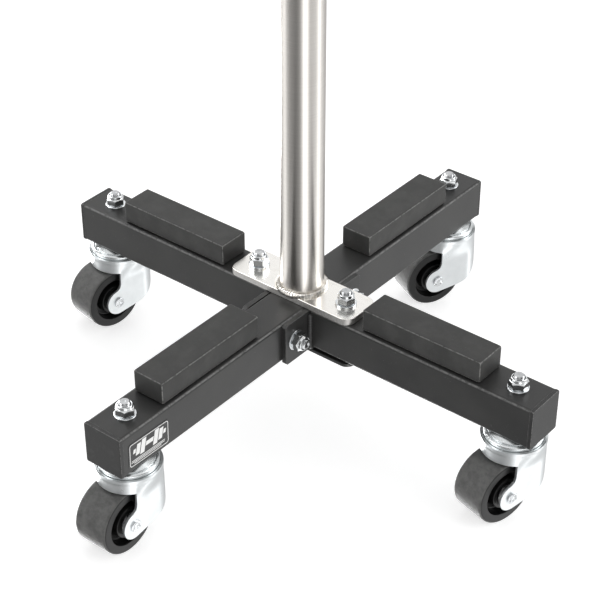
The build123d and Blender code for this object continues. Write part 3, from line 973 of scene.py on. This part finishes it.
def evenly(outline, count):
    """count + 1 points evenly spaced along an open line of points."""
    lengths = [0.0]
    for start, end in zip(outline, outline[1:]):
        lengths.append(lengths[-1] + (end - start).length)
    points = []
    for k in range(count + 1):
        target = lengths[-1] * k / count
        i = max(j for j in range(len(outline) - 1) if lengths[j] <= target + 1e-9)
        share = (target - lengths[i]) / max(1e-9, lengths[i + 1] - lengths[i])
        points.append(outline[i].lerp(outline[i + 1], min(1, share)))
    return points


# The leg's outline from the side, as (distance from the kingpin, height).
throat_x = LEG_FRONT + THROAT_R
throat_rise = math.sqrt((LEG_END_R + THROAT_R) ** 2 - (throat_x - END.x) ** 2)
throat = Vector((throat_x, END.y + throat_rise))
throat_angle = math.degrees(math.atan2(throat_rise, throat_x - END.x))
NOSE_X = LEG_FRONT + 2.0  # where the leg's body stops and its rounded nose begins
nose_start = 180 + math.degrees(math.acos((throat.x - NOSE_X) / THROAT_R))
nose_under = -math.degrees(math.acos((NOSE_X - END.x) / LEG_END_R))
NOSE_TIP = 35.0
gap = HEEL - END
under_angle = math.atan2(gap.y, gap.x) + math.asin((HEEL_R - LEG_END_R) / gap.length) - 0.75 * FULL_TURN
under = Vector((math.cos(under_angle), math.sin(under_angle)))  # square to the leg's lower edge

# Columns and rows of quads in each part of the sheet.
BODY = 12
STRAIGHT = 30
CUP_NOSE = 14
NOSE = 12
LEG_ROWS = 24
CUP_ROWS = 17


def foot_height(girth):
    """How low the sheet reaches at a distance round it from the middle of its back."""
    x = boxed_plan(girth).x
    start, end = END + under * LEG_END_R, HEEL + under * HEEL_R
    if x > start.x:
        return END.y - math.sqrt(LEG_END_R**2 - (x - END.x) ** 2)
    if x > end.x:
        return start.lerp(end, (start.x - x) / (start.x - end.x)).y
    return HEEL.y - math.sqrt(max(0.0, HEEL_R**2 - (x - HEEL.x) ** 2))


def grid(bm, columns, rows, place):
    """A sheet of columns by rows quads whose points are moved to place(column, row)."""
    made = bmesh.ops.create_grid(bm, x_segments=columns, y_segments=rows, size=0.5)["verts"]
    for v in made:
        v.co = place(round((v.co.x + 0.5) * columns), round((0.5 - v.co.y) * rows))


def leg_point(column, row):
    """A point of one leg's body and its half of the back. Column 0 is the leg's front edge."""
    down = row / LEG_ROWS
    if column > BODY:
        girth = FAN_START * (1 - (column - BODY) / STRAIGHT)
        return pressed(girth, CUP_FOOT + (foot_height(girth) - CUP_FOOT) * down)
    aside = column / BODY
    foot = foot_height(CORNER_END + NOSE_X + (STRIP - NOSE_X) * aside - FLAT_START)
    height = CUP_FOOT + (foot - CUP_FOOT) * down
    front = LEG_FRONT
    if row >= NOSE_ROW:
        front = NOSE_X
    elif height < throat.y:
        front = throat.x - math.sqrt(THROAT_R**2 - (throat.y - height) ** 2)
    return pressed(CORNER_END + front + (STRIP - front) * aside - FLAT_START, height)


nose_foot = foot_height(CORNER_END + NOSE_X - FLAT_START)
nose_top = throat.y + THROAT_R * math.sin(math.radians(nose_start))
NOSE_ROW = round(LEG_ROWS * (CUP_FOOT - nose_top) / (CUP_FOOT - nose_foot))
NOSE_ROWS = LEG_ROWS - NOSE_ROW
nose_top = CUP_FOOT + (nose_foot - CUP_FOOT) * NOSE_ROW / LEG_ROWS
nose_upper = evenly(
    [
        Vector((NOSE_X, nose_top)),
        *arc(throat, THROAT_R, nose_start, 180 + throat_angle, 8)[1:],
        *arc(END, LEG_END_R, throat_angle, NOSE_TIP, 8)[1:],
    ],
    NOSE,
)
nose_lower = evenly(arc(END, LEG_END_R, nose_under, -NOSE_TIP, 16), NOSE)
nose_tip = evenly(arc(END, LEG_END_R, NOSE_TIP, -NOSE_TIP, 16), NOSE_ROWS)
nose_root = evenly([Vector((NOSE_X, nose_top)), Vector((NOSE_X, nose_foot))], NOSE_ROWS)


def nose_point(column, row):
    """A point of a leg's rounded nose, drawn in evenly from its four sides."""
    across, down = column / NOSE, row / NOSE_ROWS
    rising = nose_upper[column].lerp(nose_lower[column], down)
    crossing = nose_root[row].lerp(nose_tip[row], across)
    left = nose_root[0].lerp(nose_root[-1], down)
    right = nose_tip[0].lerp(nose_tip[-1], down)
    spot = rising + crossing - left.lerp(right, across)
    return pressed(CORNER_END + spot.x - FLAT_START, spot.y)


def cup_point(column, row):
    """A point of half the cup, from the middle of its front round to the middle of its back."""
    height = CUP_TOP + (CUP_FOOT - CUP_TOP) * row / CUP_ROWS
    if column < CUP_NOSE:
        return pressed(CUP_FRONT + (FRONT_EDGE - CUP_FRONT) * column / CUP_NOSE, height)
    if column < CUP_NOSE + BODY:
        return pressed(FRONT_EDGE + (FAN_START - FRONT_EDGE) * (column - CUP_NOSE) / BODY, height)
    return pressed(FAN_START * (1 - (column - CUP_NOSE - BODY) / STRAIGHT), height)


def fork_sheet():
    """The pressed fork: a round cup whose back and sides run down into two legs."""
    bm = bmesh.new()
    grid(bm, BODY + STRAIGHT, LEG_ROWS, leg_point)
    grid(bm, NOSE, NOSE_ROWS, nose_point)
    grid(bm, CUP_NOSE + BODY + STRAIGHT, CUP_ROWS, cup_point)
    half = bm.verts[:] + bm.edges[:] + bm.faces[:]
    bmesh.ops.mirror(bm, geom=half, matrix=Matrix.Identity(4), merge_dist=0.0, axis="Y")
    bmesh.ops.remove_doubles(bm, verts=bm.verts, dist=0.05 * MM)
    bmesh.ops.recalc_face_normals(bm, faces=bm.faces)
    outer = max(bm.faces, key=lambda f: f.calc_center_median().y)
    if outer.normal.y < 0:
        bmesh.ops.reverse_faces(bm, faces=bm.faces)
    return bm


def cup_floor():
    """The cup's floor, with the kingpin's hole."""
    low, high = 82.0, 82.0 + SHEET
    outline = [(KINGPIN_R + 0.05, low), (33.2, low), (33.2, high), (KINGPIN_R + 0.05, high)]
    return turned([(r * MM, z * MM) for r, z in outline], 64)


def swivel_disc(node):
    """The fixed top disc: flat where it meets the tube, then sloping to a rolled edge."""
    low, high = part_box(node)
    top, radius = high.z, (high.x - low.x) / 2
    outline = rounded(
        [
            (BOLT_R, top, 0),
            (23 * MM, top, 3 * MM),
            (28.4 * MM, top - 2.9 * MM, 0.5 * MM),
            (28.6 * MM, top - 4.2 * MM, 0.2 * MM),
            (29.5 * MM, top - 4.2 * MM, 0.2 * MM),
            (29.7 * MM, top - 3.4 * MM, 0.6 * MM),
            (radius, top - 5.2 * MM, 1.6 * MM),
            (radius, low.z + MM, 0.8 * MM),
            (29.5 * MM, low.z + MM, 0.5 * MM),
            (26.5 * MM, top - 6.2 * MM, 2 * MM),
            (BOLT_R, top - 3 * MM, 0),
        ],
        5,
    )
    return turned(outline, 96)


def kingpin_stem():
    """The kingpin with its round head below the fork and its threaded end above the nut."""
    low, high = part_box("caster_stems")
    head, pin = 13 * MM, KINGPIN_R * MM
    under_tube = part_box("top_disc_front")[1].z - 3 * MM
    outline = rounded(
        [
            (0, low.z, 0),
            (head, low.z, MM),
            (head, low.z + 3 * MM, 0.4 * MM),
            (pin, low.z + 3 * MM, 0),
            (pin, under_tube, 0),
            (BOLT_R, under_tube, 0),
        ],
        4,
    )
    return turned([*outline, *threaded(tube_high.z, high.z)[1:]], 48)


def mirrored(outline):
    """A closed outline from half of one, given as (radius, distance from the middle)."""
    return [*outline, *[(r, -z) for r, z in reversed(outline)]]


WHEEL_R = size_of("wheel_front").z / 2
WHEEL_HALF = size_of("wheel_front").x / 2
AXLE_R = 5 * MM
SLEEVE_R = 6.5 * MM
BEARING_R = 11 * MM


def wheel():
    """A moulded wheel: a low crown with a parting line, deep recesses and a hub with a thin lip."""
    side = WHEEL_HALF
    hub = side - 0.5 * MM
    web, bearing_seat = 9 * MM, hub - 10 * MM
    shoulder = (WHEEL_R - 0.15 * MM, side - 3.2 * MM)
    tread = [
        (WHEEL_R, 0.3 * MM),
        (WHEEL_R - 0.03 * MM, 0.6 * MM),
        (WHEEL_R - 0.03 * MM, side * 0.45),
        shoulder,
    ]
    flank = rounded(
        [
            (*shoulder, 0),
            (WHEEL_R - 0.3 * MM, side, 2.4 * MM),
            (27 * MM, side, 0.7 * MM),
            (25.5 * MM, web, 1.6 * MM),
            (19.2 * MM, web, 1.6 * MM),
            (18.2 * MM, hub, 1.2 * MM),
            (14.2 * MM, hub, 0.5 * MM),
            (13.8 * MM, hub - 1.2 * MM, 0.4 * MM),
            (12.9 * MM, hub - 1.2 * MM, 0.4 * MM),
            (12.6 * MM, hub + 0.4 * MM, 0.3 * MM),
            (BEARING_R, hub + 0.4 * MM, 0.4 * MM),
            (BEARING_R, bearing_seat, 0),
            (SLEEVE_R + MM, bearing_seat, 0),
        ],
        4,
    )
    bm = turned(mirrored([*tread, *[tuple(p) for p in flank[1:]]]), 128)
    rolled = bm.verts.layers.float.new("tread")
    for vert in bm.verts:
        vert[rolled] = float(vert.co.xy.length > WHEEL_R - 1.2 * MM)
    bm.transform(on_axle)
    return bm


def bearing_pair():
    """Two ball bearings: an outer race, a recessed shield and an inner race in each."""
    face, back = 18.5 * MM, 10.5 * MM
    shield = face - 0.7 * MM
    outline = [
        (SLEEVE_R + 0.05 * MM, back),
        (SLEEVE_R + 0.05 * MM, face - 0.2 * MM),
        (SLEEVE_R + 0.25 * MM, face),
        (7.9 * MM, face),
        (8.0 * MM, shield),
        (9.6 * MM, shield),
        (9.7 * MM, face),
        (BEARING_R - 0.3 * MM, face),
        (BEARING_R, face - 0.3 * MM),
        (BEARING_R, back),
    ]
    pair = joined([turned(outline, 64), turned([(r, -z) for r, z in outline], 64)])
    pair.transform(on_axle)
    return pair


def axle_sleeve():
    half = (LEG_FACE - SHEET) * MM
    outside = [(SLEEVE_R, -half, 0.3 * MM), (SLEEVE_R, half, 0.3 * MM)]
    bm = turned(rounded([(AXLE_R, -half, 0), *outside, (AXLE_R, half, 0)]), 48)
    bm.transform(on_axle)
    return bm


def axle_rivet():
    """The axle with a low peened head at each end, punched in three places to lock it."""
    leg, end = LEG_FACE * MM, 31 * MM
    half = [
        (AXLE_R, 0),
        (AXLE_R, leg),
        (6.75 * MM, leg),
        (6.75 * MM, leg + 0.9 * MM),
        (6.7 * MM, end - 0.4 * MM),
        (6.3 * MM, end - 0.05 * MM),
        (5.3 * MM, end),
        (4.2 * MM, end - 0.12 * MM),
        (3.4 * MM, end - 0.5 * MM),
        (2.4 * MM, end - 0.62 * MM),
        (1.2 * MM, end - 0.5 * MM),
        (0, end - 0.45 * MM),
    ]
    # Known fault: this outline crosses itself inside the axle and leaves hidden faces there.
    below = [(r, -z) for r, z in reversed(half[:-1])]
    bm = turned([*half, *below, (0, -half[-1][1])], 72)
    for v in bm.verts:
        if abs(v.co.z) < leg + 0.5 * MM:
            continue
        for k in range(3):
            angle = 0.5 + k * FULL_TURN / 3
            punch = Vector((4.3 * MM * math.cos(angle), 4.3 * MM * math.sin(angle)))
            sink = 0.85 * MM * smooth(1 - (v.co.xy - punch).length / (1.8 * MM))
            v.co.z -= math.copysign(sink, v.co.z)
    bm.transform(on_axle)
    return bm


for arm in ARMS:
    place = caster_place(arm)
    for node, shape, finish in (
        (f"top_disc_{arm}", swivel_disc(f"top_disc_{arm}"), disc_zinc),
        (f"axle_{arm}", axle_rivet(), rivet_zinc),
        (f"sleeve_{arm}", axle_sleeve(), sleeve_steel),
        (f"wheel_{arm}", wheel(), polymer),
        (f"bearings_{arm}", bearing_pair(), bearing_steel),
    ):
        shape.transform(place)
        stand_in(node, shape, finish)
    sheet = fork_sheet()
    sheet.transform(place)
    stand_in(f"fork_{arm}", sheet, fork_zinc, edge=0.7 * MM, wall=SHEET * MM)
    floor_disc = cup_floor()
    floor_disc.transform(place)
    piece(f"cup_floor_{arm}", floor_disc, body_of[f"fork_{arm}"], fork_zinc)

stems = [Matrix.Translation((x, y, 0)) for x, y in caster_xy]
stand_in("caster_stems", stamped(kingpin_stem(), stems), bolt_zinc)
frame["nodes"]["swivel_balls"].data.materials[0] = ball_steel.material


# ------------ studio
ROOM = 0.6  # level of the light from all round
CEILING = 0.8
BACKDROP = 1.04
BRIGHTEST = 10  # the level that a ramp's white stands for
# Levels seen by shiny parts, by angle from +X: the lower walls and the upper walls.
LOW_WALLS = (
    (-180, 0.45), (-162, 0.6), (-153, 1.15), (-140, 1.15), (-131, 0.36), (-112, 0.3),
    (-78, 0.22), (-62, 0.35), (-50, 0.9), (-44, 1.75), (-27, 1.75), (-16, 0.75), (18, 0.75),
    (28, 1.0), (33, 1.7), (43, 1.7), (50, 0.85), (64, 0.75), (78, 0.6), (112, 0.5), (130, 0.4),
    (180, 0.45),
)
HIGH_WALLS = (
    (-180, 0.5), (-152, 0.5), (-144, 3.2), (-120, 3.2), (-112, 0.3), (-72, 0.1), (-50, 0.9),
    (-20, 0.15), (26, 0.15), (36, 3.2), (58, 3.2), (68, 0.3), (100, 0.95), (155, 0.95),
    (180, 0.5),
)


def studio_floor():
    bm = bmesh.new()
    bmesh.ops.create_grid(bm, x_segments=1, y_segments=1, size=9)
    mesh = bpy.data.meshes.new("studio_floor")
    bm.to_mesh(mesh)
    bm.free()
    obj = bpy.data.objects.new("studio_floor", mesh)
    bpy.context.scene.collection.objects.link(obj)
    white = Finish(
        "studio_floor", base_color=(0.8, 0.8, 0.8, 1), roughness=0.3, specular_ior_level=0.3,
        emission_color=(1, 1, 1, 1), emission_strength=0.6
    )
    mesh.materials.append(white.material)
    obj.visible_glossy = False


def stops(levels):
    """Ramp stops from pairs of an angle in degrees, -180 to 180 from +X, and a level."""
    return [(angle / 360 + 0.5, level / BRIGHTEST) for angle, level in levels]


def studio_surround():
    """White light all round. Shiny parts see tall soft boxes with dim walls between them."""
    world = bpy.data.worlds.new("studio")
    bpy.context.scene.world = world
    world.use_nodes = True
    room = Nodes(world.node_tree)
    direction = room.node("ShaderNodeTexCoord", {}, {})
    round_about = room.node("ShaderNodeTexGradient", {"gradient_type": "RADIAL"}, {0: direction}, 1)
    up = room.node("ShaderNodeSeparateXYZ", {}, {0: direction}, 2)
    low = room.node("ShaderNodeValToRGB", {"stops": stops(LOW_WALLS)}, {0: round_about})
    high = room.node("ShaderNodeValToRGB", {"stops": stops(HIGH_WALLS)}, {0: round_about})
    raised_part, overhead = up.above(-0.15, 0.2), up.above(0.7, 0.9)
    level = low * (1 - raised_part) + high * raised_part * (1 - overhead)
    shine = BRIGHTEST * level + CEILING * overhead
    seen = [room.node("ShaderNodeLightPath", {}, {}, name) for name in ("Is Glossy Ray", "Is Camera Ray")]
    plain = ROOM + (BACKDROP - ROOM) * seen[1]
    light = plain + (shine - ROOM) * seen[0]
    room.tree.links.new(light.socket, room.tree.nodes["Background"].inputs[0])


def soft_box(name, azimuth, elevation, distance, width, height, power):
    """A soft light on a circle round the trolley, aimed at its middle. Angles in degrees from +X."""
    light = bpy.data.lights.new(name, "AREA")
    light.shape = "RECTANGLE"
    light.size = width
    light.size_y = height
    light.energy = power
    obj = bpy.data.objects.new(name, light)
    bpy.context.scene.collection.objects.link(obj)
    a, e = math.radians(azimuth), math.radians(elevation)
    out = Vector((math.cos(e) * math.cos(a), math.cos(e) * math.sin(a), math.sin(e)))
    aim = Vector((0, 0, 0.15))
    obj.location = aim + out * distance
    obj.rotation_euler = out.to_track_quat("Z", "Y").to_euler()
    obj.visible_glossy = False


def camera():
    """A long lens a little above the trolley, in front and to its right."""
    aim = Vector((-0.00256, -0.00029, 0.13784))
    turn, lift, distance = math.radians(38.75), math.radians(34.96), 1.9639
    back = Vector((math.cos(lift) * math.sin(turn), -math.cos(lift) * math.cos(turn), math.sin(lift)))
    data = bpy.data.cameras.new("camera")
    data.lens = 105.4
    data.sensor_width = 36
    obj = bpy.data.objects.new("camera", data)
    bpy.context.scene.collection.objects.link(obj)
    obj.location = aim + back * distance
    obj.rotation_euler = back.to_track_quat("Z", "Y").to_euler()
    bpy.context.scene.camera = obj


studio_floor()
studio_surround()
soft_box("right", 12, 22, 2.4, 1.4, 1.8, 16)
soft_box("top", 120, 72, 2.2, 1.6, 1.6, 3)
camera()
bpy.context.scene.view_settings.view_transform = "Standard"
